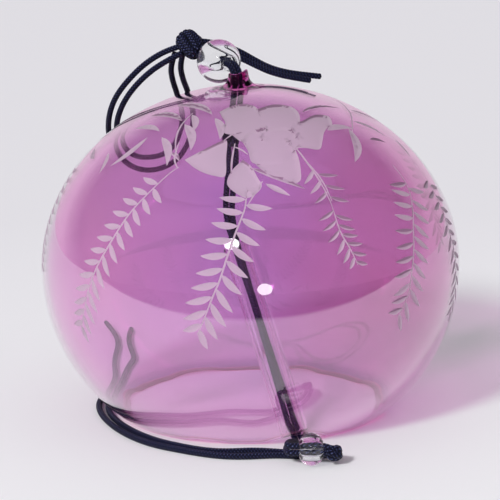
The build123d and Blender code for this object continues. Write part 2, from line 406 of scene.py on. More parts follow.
def braided(name, line, cut_end=False):
    """A braided strand along a line, with its yarns raised and painted light on them, and a sealed round
    tip at a cut end.
    """
    centres, length = even_points(line, ring_gap)
    sides, ups = line_frames(centres)
    rows = len(centres)
    along = np.linspace(0, length, rows)[:, None]
    angle = np.arange(braid_sides)[None, :] * tau / braid_sides
    first = braid_yarns * (angle / tau + along / braid_lay)
    second = braid_yarns * (angle / tau - along / braid_lay)
    first_over = (np.floor(first) + np.floor(second)) % 4 < 2
    across = np.where(first_over, first % 1, second % 1)
    along_yarn = np.where(first_over, second % 1, first % 1)
    crown = np.sin(pi * across)
    height = crown**yarn_round
    radius = cord_radius - braid_relief * (1 - height)
    if cut_end:
        share = np.clip((length - along) / tip_length, tip_share, 1)
        radius = radius * np.sqrt(1 - (1 - share) ** 2)
    points = (
        centres[:, None, :]
        + sides[:, None, :] * (np.cos(angle) * radius)[:, :, None]
        + ups[:, None, :] * (np.sin(angle) * radius)[:, :, None]
    ).reshape(-1, 3)
    faces = grid_faces(rows, braid_sides)
    faces.append(tuple(range(braid_sides))[::-1])
    faces.append(tuple((rows - 1) * braid_sides + i for i in range(braid_sides)))
    strand = mesh_object(name, points, faces, [cord_braid])
    # Painted light: a painted highlight along each yarn's crown, dimmer towards its ends and on the yarns
    # that run the second way, and painted shade in the grooves
    yarn_highlight_along = yarn_end_share + (1 - yarn_end_share) * np.sin(pi * along_yarn)
    painted_yarn_light = crown**yarn_contrast * yarn_highlight_along * np.where(first_over, 1.0, second_share)
    strand.data.attributes.new("painted_yarn_light", "FLOAT", "POINT").data.foreach_set(
        "value", painted_yarn_light.astype(np.float32).ravel()
    )
    return strand


def from_mm(places):
    """Points in metres from places in millimetres; a place without a height lies on the table."""
    return [tuple(round(v / 1000, 7) for v in (*place, floor_z * 1000)[:3]) for place in places]


def beside(route, sides, sign):
    """The route of one strand of a pair, half a pair's pitch to one side."""
    return [
        Vector(point) + sign * strand_shift * Vector(side).normalized()
        for point, side in zip(route, sides, strict=True)
    ]


# The routes of the pairs, whose strands lie on both sides of them
neck_route = [
    Vector((-0.0126, 0.0136, 0.0934)),
    top_bead_place + top_bead_line * 0.0066,
    Vector((-0.0074, 0.0074, 0.09163)),
    Vector((neck_x, 0, 0.0916)),
    Vector((neck_x, 0, 0.0851)),
]
neck_side = Vector((top_bead_line.y, -top_bead_line.x, 0)).normalized()
clapper_route = [
    *from_mm([
        (-2.4, 0, 84.8), (-3.3, -0.7, 79), (-4.5, -1.6, 73), (-4.1, -3, 67.2), (-4.9, -4.7, 61.2),
        (-5.5, -6.1, 55.4), (-5, -7, 50.4),
    ]),
    tube_head - tube_down * 0.0016,
    tube_head + tube_down * 0.0182,
    tube_head + tube_down * 0.0364,
    tube_foot - tube_down * 0.0008,
    *from_mm([
        (11.4, -35.1, 0.95), (11.2, -38.8, 1.1), (10.1, -42.4, 2.2), (9.2, -46.2, 3.4), (8.2, -49.6, 4),
        (8, -52.6, 4.2), (8.9, -54.2, 4.2), (10.55, -54, 4.2), (13.9, -53.98, 4.2), (17.25, -54, 4.2),
        (19.05, -54.1, 3.3),
    ]),
]
clapper_sides = [
    *[(1, 0, 0)] * 3, (1, 0.1, 0), (1, 0.2, 0), (1, 0.4, 0), (0.8, 0.6, -0.1), (0.5, 0.8, -0.3),
    (0.2, 0.86, -0.46), (0.5, 0.75, -0.3), (0.9, 0.4, 0.04), (1, 0.1, 0), (1, -0.1, 0), (1, -0.3, 0),
    (0.8, -0.2, 0.5), (0.44, 0, 0.9), *[(0, 0, 1)] * 5, (0.3, 0, 1),
]
neck_sides = [neck_side] * len(neck_route)

# Every stretch's route, point by point as in the CAD model
routes = {
    "loop_cord_outer": from_mm([
        (-17, 15.1, 95), (-20.2, 15.8, 94), (-24, 16.8, 92.2), (-28.2, 18, 89.2), (-32.4, 19, 85),
        (-35.8, 20.6, 80.4), (-37.7, 23, 75.2), (-38.2, 27.2, 69.6), (-37.2, 33, 64.4),
        (-34.6, 38.8, 60), (-30.4, 43.6, 57.2), (-25.2, 46.8, 57), (-20.2, 47.8, 59.8),
        (-17.2, 45.8, 65), (-15.9, 41.6, 70.6), (-15.6, 36, 75.8), (-16.3, 29.8, 80.6),
        (-17.5, 23.8, 85), (-18, 19.8, 89.4), (-16.9, 17.4, 93),
    ]),
    "loop_cord_inner": from_mm([
        (-17, 14.3, 93.2), (-20.4, 15.2, 91.5), (-25.4, 16.7, 88.4), (-29.9, 18.2, 84.2),
        (-33.3, 20, 79.6), (-35.3, 22.6, 74.8), (-36, 27, 70.4), (-35.3, 32.2, 66.4), (-33.2, 37.6, 63),
        (-29.4, 42.4, 61.2), (-24.8, 45.2, 61.4), (-21.2, 45, 64.4), (-19.3, 42.2, 69.4),
        (-18.7, 37, 74.6), (-19.2, 31, 79.6), (-20.3, 25.2, 84.4), (-20.6, 20.8, 88.8),
        (-19.2, 18.3, 92.6),
    ]),
    "top_tail_a": from_mm([
        (-12.2, 15.5, 96), (-9, 15.9, 95.6), (-5.2, 16, 94.5), (-1.4, 15.7, 92.8), (2.2, 14.9, 90.7),
        (5.6, 13.8, 89), (9.4, 12.6, 87.9), (14, 11.5, 87.2), (19.6, 10.4, 86.7),
    ]),
    "top_tail_b": from_mm([
        (-12.2, 15.8, 93.8), (-9.2, 16.2, 93.3), (-5.4, 15.6, 92.8), (-1.6, 14.6, 91.4),
        (2, 13.3, 89.7), (5.6, 12, 88.1), (9.3, 10.9, 87.1), (13, 9.6, 86.5), (16.8, 8.4, 86),
    ]),
    "neck_cord_a": beside(neck_route, neck_sides, 1),
    "neck_cord_b": beside(neck_route, neck_sides, -1),
    "clapper_cord_a": beside(clapper_route, clapper_sides, 1),
    "clapper_cord_b": beside(clapper_route, clapper_sides, -1),
    "floor_tail_a": from_mm([
        (19.2, -52.4, 2.4), (17.2, -50.2, 1.2), (14, -48.9, 0.86), (10, -48.3), (5.4, -47.5),
        (0.8, -47.9), (-4.2, -48.2), (-9.2, -47.1), (-14.3, -44.5), (-19.4, -41.2), (-24.2, -37.8),
        (-28.4, -33.6), (-32.6, -27.6), (-36.6, -19.8), (-40, -10), (-41.6, 0.2), (-40.6, 9),
        (-39.6, 17), (-39.8, 25.4), (-40.8, 34.8), (-41.1, 44.6), (-40.8, 54.6), (-41.6, 64.8),
        (-43.8, 75), (-47, 85.2),
    ]),
    "floor_tail_b": from_mm([
        (20.8, -52, 3.2), (19.2, -49.4, 2.1), (16.2, -47.4, 1.2), (12.4, -46.4, 0.86), (8.4, -45.7),
        (4.2, -44.2), (-0.6, -43.3), (-5.6, -43.8), (-10.4, -43.3), (-15, -41), (-19.4, -37.9),
        (-23.6, -34.5), (-27.4, -30.3), (-31.1, -24.8), (-35, -17.4), (-37.8, -9.2), (-39, -0.6),
        (-38.3, 7.4), (-37.4, 15.4), (-36.9, 24.6), (-36.2, 34), (-34.8, 42.6), (-36.2, 51.2),
        (-37.6, 60.4), (-38.1, 69.6), (-37.8, 77.6),
    ]),
}
lines = {name: spline_points(name, route) for name, route in routes.items()}
bodies = {"loop": "hanger", "top": "hanger", "clapper": "clapper"}
pieces = {}
for name, line in lines.items():
    pieces[name] = braided(name + "_braid", line, cut_end="tail" in name)
    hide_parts(name)
    body = bodies.get(name.split("_")[0])
    if body:
        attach(pieces[name], body)


# Knots: the doubled cord wound over and under itself

ring_share = 0.62
knot_steps = 900


def knot_line(place, axis, radius, half_length, rounds, waves):
    """A closed line that winds round an axis and in and out, within a radius and a half length."""
    axis = np.array(Vector(axis) / Vector(axis).length)
    across = across_of(axis)
    across /= norm(across)
    third = np.cross(axis, across)
    ring = (radius - cord_radius) * ring_share
    swing = (radius - cord_radius) * (1 - ring_share)
    t = np.linspace(0, tau, knot_steps)
    reach = ring + swing * np.cos(waves * t)
    height = (half_length - cord_radius) * np.sin(waves * t)
    return (
        np.array(Vector(place))
        + across * (reach * np.cos(rounds * t))[:, None]
        + third * (reach * np.sin(rounds * t))[:, None]
        + axis * height[:, None]
    )


# Each knot: the body that it rides on, place, axis, radius, half length, rounds and waves
knots = {
    "hanger_knot": ("hanger", (-0.0148, 0.0156, 0.0952), (-0.62, 0.55, 0.56), 0.0034, 0.0039, 2, 9),
    "inner_knot": ("clapper", (-0.0045, -0.0016, 0.073), (0.1, 0.1, 1), 0.0024, 0.0027, 2, 5),
    "lower_knot": ("clapper", (0.0196, -0.0541, 0.0032), (1, 0, 0.1), 0.0021, 0.0020, 2, 5),
}
for name, (body, *winding) in knots.items():
    pieces[name] = braided(name + "_braid", knot_line(*winding))
    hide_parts(name)
    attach(pieces[name], body)


# Clear glass: the beads and the clapper tube

bead_edge_round = 0.00035
mouth_share = 0.4
flare_start_share = 0.9
flare_growth = 4
bore_end_share = 0.985
tube_lip = 0.0007
wall_shares = [0.05, 0.25, 0.5, 0.75, 0.95]

clear_grain = (260.0, 1.0, (1, 1, 0.4), 0.04, 0.0003)
clear_glass = glass("clear_glass", 0.0, 1.0, clear_grain, (0.9, 0.9, 0.92, 1), IOR=1.5)
shade(clear_glass, Base_Color=(0.96, 0.97, 0.98, 1))


def lathe(name, outline, place, axis, material, columns=96):
    """A closed ring of glass: outline points (radius, height) turned round an axis."""
    turn = Vector(axis).normalized().to_track_quat("Z", "Y").to_matrix()
    points = []
    for radius, height in outline:
        for i in range(columns):
            angle = tau * i / columns
            points.append(Vector(place) + turn @ Vector((radius * cos(angle), radius * sin(angle), height)))
    return mesh_object(name, points, grid_faces(len(outline), columns, closed=True), [material])


def bead_outline(radius, half_length, steps=40, bore_steps=12):
    """Outside of a bead from one end of its bore to the other, then back through the bore."""
    limit = sqrt(1 - (bore_radius / radius) ** 2)
    outline = []
    for i in range(steps + 1):
        share = limit * sin(pi * (i / steps - 0.5))
        out = max(radius * sqrt(1 - share**2), bore_radius + bead_edge_round * mouth_share)
        outline.append((out, half_length * share))
    for i in range(bore_steps + 1):
        share = 1 - 2 * i / bore_steps
        flare = bead_edge_round * max(0.0, abs(share) - flare_start_share) * flare_growth
        outline.append((bore_radius + flare, half_length * limit * share * bore_end_share))
    return outline


def tube_outline(steps=12):
    """Wall of the tube with fire-polished ends, its ends drawn in a little."""
    mid = (tube_radius + bore_radius) / 2
    half_wall = (tube_radius - bore_radius) / 2
    outline = []
    for side, shares in ((-1, wall_shares), (1, wall_shares[::-1])):
        for i in range(steps + 1):
            angle = pi * i / steps
            inward = tube_lip - tube_lip * sin(angle)
            height = inward if side < 0 else tube_length - inward
            outline.append((mid + side * half_wall * cos(angle), height))
        outline += [(mid - side * half_wall, tube_length * share) for share in shares]
    return outline


clear_pieces = {
    "top_bead": (bead_outline(top_bead_radius, top_bead_radius), top_bead_place, top_bead_line),
    "lower_bead": (bead_outline(lower_bead_radius, lower_bead_half_length), lower_bead_place, (1, 0, 0)),
    "clapper_tube": (tube_outline(), tube_head, tube_down),
}
for name, (outline, place, axis) in clear_pieces.items():
    pieces[name] = lathe(name + "_glass", outline, place, axis, clear_glass)
    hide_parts(name)
    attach(pieces[name], name)


# The bell's outer surface, unrolled so that shapes keep their angles


def reach_at(height):
    """How far from the equator the half of the globe reaches in which a height lies."""
    return crown_reach if height > equator_height else rim_reach


def wall_radius(height, inset=0.0):
    """Radius at a height of the outer surface, or of the surface that lies an inset inside it."""
    share = (height - equator_height) / (reach_at(height) - inset)
    return (bell_radius - inset) * sqrt(max(0.0, 1 - share**2))


def round_place(radius, azimuth, height):
    """The point at a radius, an azimuth and a height; azimuth 0 faces the viewer."""
    return radius * sin(azimuth), -radius * cos(azimuth), height


lowest_turn = -1.0
highest_turn = 1.54
table_turns = np.linspace(lowest_turn, highest_turn, 4000)
table_reach = np.where(table_turns > 0, crown_reach, rim_reach)
table_slope = np.sqrt(
    (bell_radius * np.sin(table_turns)) ** 2 + (table_reach * np.cos(table_turns)) ** 2
)
table_steps = table_slope / (bell_radius * np.cos(table_turns))
table_heights = np.concatenate(
    [[0], np.cumsum((table_steps[1:] + table_steps[:-1]) / 2 * np.diff(table_turns))]
)
table_heights -= np.interp(0.0, table_turns, table_heights)


def unroll(point):
    """Azimuth and unrolled height of the outer surface's place nearest to a point."""
    x, y, z = point
    turn = atan2((z - equator_height) / reach_at(z), hypot(x, y) / bell_radius)
    return atan2(x, -y), float(np.interp(turn, table_turns, table_heights))


def roll_up(azimuths, heights):
    """Points of the outer surface, and the directions out of the glass there."""
    turns = np.interp(heights, table_heights, table_turns)
    reach = np.where(turns > 0, crown_reach, rim_reach)
    level = np.stack([np.sin(azimuths), -np.cos(azimuths)])
    rise = equator_height + reach * np.sin(turns)
    points = np.stack([*(bell_radius * np.cos(turns) * level), rise], axis=1)
    outward = np.stack([*(np.cos(turns) / bell_radius * level), np.sin(turns) / reach], axis=1)
    return points, outward / norm(outward, axis=1)[:, None]


def surface_place(azimuth, height):
    """The point of the outer surface at an azimuth in degrees and a height in millimetres."""
    return Vector(round_place(wall_radius(height / 1000), radians(azimuth), height / 1000))


def surface_axes(point):
    """At a point of the surface: the direction of growing azimuth, and the one up the surface."""
    x, y, z = point
    along = Vector((-y, x, 0)) / hypot(x, y)
    outward = Vector((x / bell_radius**2, y / bell_radius**2, (z - equator_height) / reach_at(z) ** 2))
    return along, outward.normalized().cross(along)


def surface_line(places, steps):
    """A smooth line over the surface through places (azimuth in degrees, height in millimetres)."""
    points = [surface_place(*place) for place in places]
    ends = [points[0] * 2 - points[1]] + points + [points[-1] * 2 - points[-2]]
    line = []
    for a, b, c, d in zip(ends, ends[1:], ends[2:], ends[3:]):
        second = 2 * a - 5 * b + 4 * c - d
        third = 3 * b - a - 3 * c + d
        for i in range(steps):
            t = i / steps
            line.append(0.5 * (2 * b + (c - a) * t + second * t**2 + third * t**3))
    return line + [points[-1]]


# The cut ornament: outlines with the depth of each inner point

ornament = []
petals = []
petal_deep = 0.00050
petal_shallow = 0.00016
leaf_start_round = 0.85
leaf_side_round = 0.8
stem_end_share = 0.35
stem_clip_share = 0.06
tip_leaf_share = 0.65
tip_from_share = 0.8
first_pair_share = 0.4
pair_shift_share = 0.2
leaflet_bend = -0.05


def add_shape(outline, inner, chains, petal=None):
    """A cut shape: outline points, inner (point, depth) and chains of edges between them."""
    ornament.append({"outline": outline, "inner": inner, "chains": chains, "petal": petal})


def leaf_shape(middle, heading, length, width, bend=0.1, depth=0.00042, steps=7):
    """A cut leaf with a valley down its middle."""
    along, up = surface_axes(middle)
    ahead = along * cos(heading) + up * sin(heading)
    side = up * cos(heading) - along * sin(heading)
    swells = [sin(pi * (i / steps) ** leaf_start_round) for i in range(1, steps)]
    half_widths = [width / 2 * swell**leaf_side_round for swell in swells]
    places = []
    for i in range(steps + 1):
        bow = 0.5 - (2 * i / steps - 1) ** 2
        places.append(middle + ahead * length * (i / steps - 0.5) + side * bend * length * bow)
    inside = list(zip(places[1:-1], half_widths))
    left = [place + side * half for place, half in inside]
    right = [place - side * half for place, half in inside]
    outline = [places[0]] + right + [places[-1]] + left[::-1]
    inner = [(place, depth * half / (width / 2)) for place, half in inside]
    add_shape(outline, inner, [[0] + [len(outline) + i for i in range(len(inner))] + [steps]])


def stem_shape(line, width, depth=0.00012):
    """A thin cut line that tapers to its ends."""
    left = []
    right = []
    inner = []
    last = len(line) - 1
    for i, place in enumerate(line):
        along, up = surface_axes(place)
        ahead = (line[min(i + 1, last)] - line[max(i - 1, 0)]).normalized()
        side = along.cross(up).cross(ahead).normalized()
        swell = sin(pi * min(max(i / last, stem_clip_share), 1 - stem_clip_share))
        half = width / 2 * (stem_end_share + (1 - stem_end_share) * swell)
        left.append(place + side * half)
        right.append(place - side * half)
        inner.append((place, depth))
    add_shape(right + left[::-1], inner, [[2 * len(line) + i for i in range(len(line))]])


def spray(stem, count, leaf_lengths, leaf_width, spread=(80, 42), stem_width=0.0005, bare=0.12):
    """A stem with leaflets on both sides; spread is their angle to it at its two ends."""
    line = surface_line(stem, 6)
    stem_shape(line, stem_width)
    runs = [(b - a).length for a, b in zip(line, line[1:])]
    for i in range(count):
        share = bare + (1 - bare) * (i + first_pair_share) / count
        for sign in (-1, 1):
            wanted = (share + sign * pair_shift_share / count) * sum(runs)
            k = 0
            while k < len(runs) - 1 and wanted > runs[k]:
                wanted -= runs[k]
                k += 1
            base = line[k].lerp(line[k + 1], min(wanted / runs[k], 1))
            along, up = surface_axes(base)
            ahead = line[k + 1] - line[k]
            stem_heading = atan2(ahead.dot(up), ahead.dot(along))
            heading = stem_heading + sign * radians(spread[0] + (spread[1] - spread[0]) * share)
            size = leaf_lengths[0] + (leaf_lengths[1] - leaf_lengths[0]) * share
            size *= 1 - (1 - tip_leaf_share) * max(0.0, share - tip_from_share) / (1 - tip_from_share)
            direction = along * cos(heading) + up * sin(heading)
            leaf_shape(base + direction * size * 0.5, heading, size, leaf_width, leaflet_bend * sign)


def petal_shape(places, slope_share=0.09):
    """A broad petal, its outline through places; a later petal lies over an earlier one."""
    line = surface_line(places + [places[0]], 4)[:-1]
    flat_line = [unroll(point) for point in line]
    petals.append((flat_line, *np.min(flat_line, axis=0), *np.max(flat_line, axis=0)))
    centre = sum(line, Vector()) / len(line)
    inner = [(centre.lerp(point, 1 - slope_share), 0.0) for point in line]
    ring = list(range(len(line) + 1, 2 * len(line) + 1))
    add_shape(line, [(centre, 0.0)] + inner, [ring + ring[:1]], petals[-1])


def sides_of(outline):
    """The two ends of each side of a flat outline."""
    return zip(outline, outline[1:] + outline[:1])


def within(place, outline):
    """True if a flat place lies inside a flat outline."""
    x, y = place
    inside = False
    for (x_a, y_a), (x_b, y_b) in sides_of(outline):
        if (y_a > y) != (y_b > y) and x < x_a + (x_b - x_a) * (y - y_a) / (y_b - y_a):
            inside = not inside
    return inside


def petal_depth(place, own=None):
    """Depth of the uppermost petal at a flat place, leaving out a petal of its own."""
    for petal in petals[::-1]:
        line, left, low, right, high = petal
        if petal is own or not (left < place[0] < right and low < place[1] < high):
            continue
        if within(place, line):
            share = (place[1] - low) / (high - low)
            return petal_shallow + (petal_deep - petal_shallow) * share**1.5
    return 0.0


# The flower at the front: each petal's places, azimuth and height
flower_petals = [
    [(-24.6, 73), (-19.4, 74.9), (-13.8, 76.6), (-9.6, 77.2), (-8.6, 73.7), (-8.1, 70), (-12, 70),
     (-16, 70.6), (-20, 71.6)],
    [(-2.2, 73.3), (0.7, 72), (2.9, 69.5), (4, 67.8), (2.3, 66.3), (-0.5, 65.3), (-2.9, 65.8),
     (-6.4, 67.5), (-7.3, 69), (-5.9, 71.2)],
    [(1.9, 72.6), (7.7, 74.4), (12.8, 75.7), (18, 75.6), (18.9, 73.8), (18.3, 71.1), (16.8, 68.4),
     (12.6, 68.2), (8, 69.6), (4.4, 71.2)],
    [(-19.7, 82.5), (-12.6, 83.6), (-4, 83.9), (3.3, 83.7), (7.4, 82.9), (9.6, 80.4), (6.7, 77.6),
     (1, 76.6), (-3.8, 77.1), (-7.5, 78.2), (-11.7, 78.7), (-12.8, 80.6), (-16, 81.6)],
    [(7, 83), (12.2, 83.3), (20.1, 83.6), (27, 83.5), (33.5, 82.9), (33, 81.6), (27.5, 79.6),
     (23, 77.2), (15, 76), (8.2, 76.4), (5, 79), (6, 81.8)],
    [(26.2, 80.2), (31.2, 80.3), (38.4, 80.9), (45.5, 81), (50.4, 80.3), (46, 78.8), (42.6, 78.6),
     (36.8, 77.6), (32.6, 76), (29, 74.5), (24, 75), (19, 75.4), (17, 76.6), (21, 78.8)],
    [(-3.4, 77.3), (3.5, 79.4), (12.7, 79.6), (22.8, 79), (23, 76), (17, 74.4), (13, 73), (7.7, 72.6),
     (1.4, 72.6), (-0.4, 75.2)],
]
for flower_petal in flower_petals:
    petal_shape(flower_petal)

# Single leaves: azimuth and height of the middle, heading, length and width, and a bend of their own
single_leaves = [
    (-41, 83, -11, 14.5, 2.6), (-54, 80.9, 2, 13.7, 2.3), (-56, 78.2, 6, 10.4, 1.9),
    (-53, 73.2, -113, 12.1, 2), (-28, 77.8, -57, 11.6, 2.4), (-35, 74.7, -53, 11.7, 2.2),
    (-15, 79.6, -69, 9.6, 2.2), (-31, 80.4, -59, 8.4, 1.9), (-78, 70.5, 163, 8.3, 1.6),
    (-62, 70, -60, 7, 1.5), (-29, 73.6, -35, 4.2, 1.2), (47, 74.3, -126, 13.5, 2.6),
    (48, 78, -8, 9, 2.2), (55, 82, -10, 15, 1.3), (86, 78.1, -53, 11.5, 1.5),
    (69, 76.5, -56, 10.4, 1.5), (63, 74, -24, 6.2, 1.2), (77, 70.6, -111, 6.4, 1.4),
    (112, 78.2, -64, 11, 1.8), (-96, 78.2, -118, 10, 1.8), (-91, 74, -120, 9, 1.8),
    (9.8, 69.4, -29, 15, 1.6, 0), (9, 66.9, -33, 6.8, 1.5, 0),
]
for azimuth, height, heading, length, width, *bend in single_leaves:
    middle = surface_place(azimuth, height)
    leaf_shape(middle, radians(heading), length / 1000, width / 1000, *bend)

# Thin cut lines: stems of the single leaves
thin_lines = [
    [(99, 81.9), (86, 81.2), (72, 79.8), (60, 78.2), (53, 76.8)],
    [(16.5, 77.2), (19.5, 75), (21.5, 72), (23.5, 68), (24.8, 63.5)],
    [(-38, 82), (-37, 79.6), (-34, 77.2), (-30.5, 74.8)],
    [(-31, 76.4), (-29, 73.2), (-26, 71.2)],
    [(-10.8, 77.2), (-7.4, 78.4), (-4, 78.8)],
    [(-5.8, 76.6), (-6.3, 73.4), (-6.2, 70.6)],
    [(-5.8, 75.9), (-3.2, 75.4), (-0.4, 74.4)],
    [(4.4, 68.8), (2, 66.6), (-0.4, 64)],
]
for stem in thin_lines:
    stem_shape(surface_line(stem, 4), 0.0005)

# Sprays: the stem's places, leaflets a side, their lengths at both ends, and their width
spray(
    [
        (-25.5, 71.5), (-28, 70.2), (-33, 65.6), (-37, 61), (-39.5, 56.7),
        (-42, 52), (-44.5, 47.5), (-47, 42), (-49, 36.5), (-52, 30),
    ],
    13, (0.0052, 0.0064), 0.0016,
)
spray(
    [
        (-0.5, 67), (-1, 65.3), (-1.6, 62.7), (-4, 57.7), (-6, 52.7),
        (-8, 46.9), (-10, 42.4), (-12, 37.5), (-14, 33.3),
    ],
    10, (0.0066, 0.0072), 0.0018, (92, 40), bare=0.05,
)
spray([(24.8, 63.5), (25.4, 57), (27.4, 52.5), (29, 48.5)], 6, (0.0052, 0.004), 0.0011, (70, 50), 0.0004)
spray([(22, 71.8), (24.4, 68), (25.4, 63.5)], 3, (0.0056, 0.0054), 0.0011, (62, 62), 0.0004)
spray(
    [(58, 68.5), (58, 63.5), (54.5, 58.5), (51, 53.5), (48.5, 48), (46.5, 43.5), (45, 39), (41, 33.5)],
    11, (0.0072, 0.0066), 0.0015, (96, 46),
)
spray(
    [(74, 67), (74, 62), (73, 56), (72.5, 50), (73.5, 43.5), (73.5, 36), (71, 28)],
    12, (0.0060, 0.0060), 0.0015, (84, 46),
)
side_sprays = [
    [(-92, 69), (-88, 62), (-86, 54), (-84, 47), (-81, 41)],
    [(104, 71), (106, 64), (108, 56), (108, 48), (105, 40)],
]
for stem in side_sprays:
    spray(stem, 11, (0.0062, 0.0066), 0.0016, (84, 44))


# The bell's mesh

columns = 200
column_angles = [-pi + tau * i / columns for i in range(columns)]

# The rim's hollows: direction in degrees, width and depth; the cord passes under the first
hollow_width = 0.014
hollow_depth = 0.0006
hollow_shares = (1.1, 0.8, 1.25, 0.9, 1.15, 0.85, 0.9)
hollow_angles = (18, 66, 118, 168, 206, 250, 334)
rim_hollows = [(-72, 0.016, 0.0026)]
rim_hollows += [(a, hollow_width * share, hollow_depth) for a, share in zip(hollow_angles, hollow_shares)]


def rim_height(azimuth, mouth):
    """Height of the cut rim at an azimuth, for a wall that is that far out."""
    found = 0.0
    for angle, width, depth in rim_hollows:
        turn = azimuth - radians(angle)
        offset = mouth * cos(turn)
        round_radius = (width**2 / 4 + depth**2) / (2 * depth)
        if sin(turn) > 0 and abs(offset) < width / 2:
            found = max(found, depth - round_radius + sqrt(round_radius**2 - offset**2))
    return found


def rim_edge(azimuth, inset=0.0):
    """Radius and height at an azimuth of the cut edge of the outer surface, or of one inside it."""
    height = 0.0
    for _ in range(4):
        height = rim_height(azimuth, wall_radius(height, inset))
    return wall_radius(height, inset), height


edge_round = 0.0003
outer_edges = [rim_edge(azimuth) for azimuth in column_angles]
inner_edges = [rim_edge(azimuth, glass_wall) for azimuth in column_angles]

# Shares of the grid's step: between rows, and kept free at the wall's ends and round the ornament
row_share = 0.87
end_share = 0.4
near_share = 0.45


def flat_places():
    """Input of the triangulation, the depths of its places, and the two ends of the wall."""
    places = []
    edges = []
    polygons = []
    depths = []

    def add(place, depth=0.0):
        places.append(place)
        depths.append(depth)
        return len(places) - 1

    # The wall's lower end above the rim, and its upper end round the neck
    bottom = []
    top = []
    for i in range(columns + 1):
        azimuth = -pi + tau * i / columns
        height = outer_edges[i % columns][1] + edge_round
        bottom.append(add((azimuth, unroll(round_place(wall_radius(height), azimuth, height))[1])))
        shift = neck_x * sin(azimuth)
        ring = shift + sqrt(shift**2 - neck_x**2 + neck_spread**2)
        height = equator_height + crown_reach * sqrt(1 - (ring / bell_radius) ** 2)
        top.append(add((azimuth, unroll(round_place(ring, azimuth, height))[1])))
    edges += list(zip(bottom, bottom[1:])) + list(zip(top, top[1:]))
    ends = [np.array([places[k] for k in numbers]).T for numbers in (bottom, top)]

    # The ornament's shapes
    for shape in ornament:
        first = len(places)
        outline = [unroll(point) for point in shape["outline"]]
        for place in outline:
            add(place, petal_depth(place, shape["petal"]))
        for point, depth in shape["inner"]:
            place = unroll(point)
            add(place, petal_depth(place) + depth)
        polygon = [first + i for i in range(len(outline))]
        twice_area = sum(x_a * y_b - x_b * y_a for (x_a, y_a), (x_b, y_b) in sides_of(outline))
        polygons.append(polygon if twice_area > 0 else polygon[::-1])
        for chain in shape["chains"]:
            edges.extend((first + a, first + b) for a, b in zip(chain, chain[1:]))

    # An even grid where no shape is near, with a straight seam at the back
    near = KDTree(len(places))
    for i, place in enumerate(places):
        near.insert((*place, 0), i)
    near.balance()
    step = tau / columns
    low = min(ends[0][1])
    high = max(ends[1][1])
    seams = [[bottom[0]], [bottom[-1]]]
    for row in range(int((high - low) / (step * row_share))):
        height = low + (row + 0.5) * step * row_share
        shift = 0.5 * (row % 2)
        for i in range(columns):
            azimuth = -pi + (i + shift) * step
            lower, upper = (np.interp(azimuth, *end) for end in ends)
            if not lower + step * end_share < height < upper - step * end_share:
                continue
            if abs(azimuth + pi) < 1e-9:
                for seam, side in zip(seams, (-pi, pi)):
                    seam.append(add((side, height)))
            elif near.find((azimuth, height, 0))[2] >= step * near_share:
                add((azimuth, height), petal_depth((azimuth, height)))
    for seam, end in zip(seams, (top[0], top[-1])):
        edges += list(zip(seam, seam[1:] + [end]))
    return places, edges, polygons, depths, bottom, top, ends


places, edges, polygons, depths, bottom, top, ends = flat_places()
flat_points, _, flat_faces, point_origins, _, face_origins = delaunay_2d_cdt(
    [Vector(place) for place in places], edges, polygons, 0, 1e-7
)
flat = np.array([tuple(place) for place in flat_points])
point_depths = np.array([max((depths[k] for k in origin), default=0.0) for origin in point_origins])
outer_points, outer_outward = roll_up(flat[:, 0], flat[:, 1])
outer_points = outer_points - outer_outward * point_depths[:, None]

bell_points = list(outer_points)
bell_normals = list(outer_outward)
bell_faces = []
bell_kinds = []
clear_kind, cut_kind, inner_kind, rim_kind, neck_kind, shaded_cut_kind = range(6)
steep_lean = 0.475
least_lean = 0.2
least_wall = 6e-8


def wall_lean(face):
    """Twice the area of a face of a cut, and how far it leans down the bell, from 0 to 1."""
    a, b, c = (outer_points[k] for k in face[:3])
    across = np.cross(b - a, c - a)
    outward = outer_outward[face[0]]
    up = np.array((0, 0, 1)) - outward * outward[2]
    area = norm(across)
    return area, -(across @ up) * np.sign(across @ outward) / max(area * norm(up), 1e-20)


# Painted shade: a cut's upper walls get a darker colour where they are steep, face by face in a petal, but
# in a leaf the whole upper side
cut_leans = {i: wall_lean(flat_faces[i]) for i, origin in enumerate(face_origins) if origin}
past_steep = [0.0] * len(ornament)
for i, (area, lean) in cut_leans.items():
    if lean > least_lean:
        past_steep[face_origins[i][-1]] += area * (lean - steep_lean)


def kind_of(number):
    """What a face of the outer surface is made of, or painted shade on a cut's steep upper wall."""
    if number not in cut_leans:
        return clear_kind
    area, lean = cut_leans[number]
    shape = face_origins[number][-1]
    if ornament[shape]["petal"]:
        painted_shade = lean > steep_lean and area > least_wall
    else:
        painted_shade = lean > least_lean and past_steep[shape] > 0
    return shaded_cut_kind if painted_shade else cut_kind


# Only the faces between the wall's two ends are kept
for number, face in enumerate(flat_faces):
    azimuth, height = flat[list(face)].mean(axis=0)
    lower, upper = (np.interp(azimuth, *end) for end in ends)
    if lower <= height <= upper:
        bell_faces.append(face)
        bell_kinds.append(kind_of(number))


def join_rings(ring_a, ring_b, kind):
    """Quads from ring to ring: down the outside and up the inside, or up the neck's outside."""
    for i in range(columns):
        j = (i + 1) % columns
        if kind == neck_kind:
            bell_faces.append((ring_a[i], ring_a[j], ring_b[j], ring_b[i]))
        else:
            bell_faces.append((ring_a[i], ring_b[i], ring_b[j], ring_a[j]))
        bell_kinds.append(kind)


def add_ring(before, points, kind):
    """A new ring of points, joined to the one before it."""
    ring = list(range(len(bell_points), len(bell_points) + columns))
    bell_points.extend(points)
    bell_normals.extend([(0, 0, 0)] * columns)
    join_rings(before, ring, kind)
    return ring


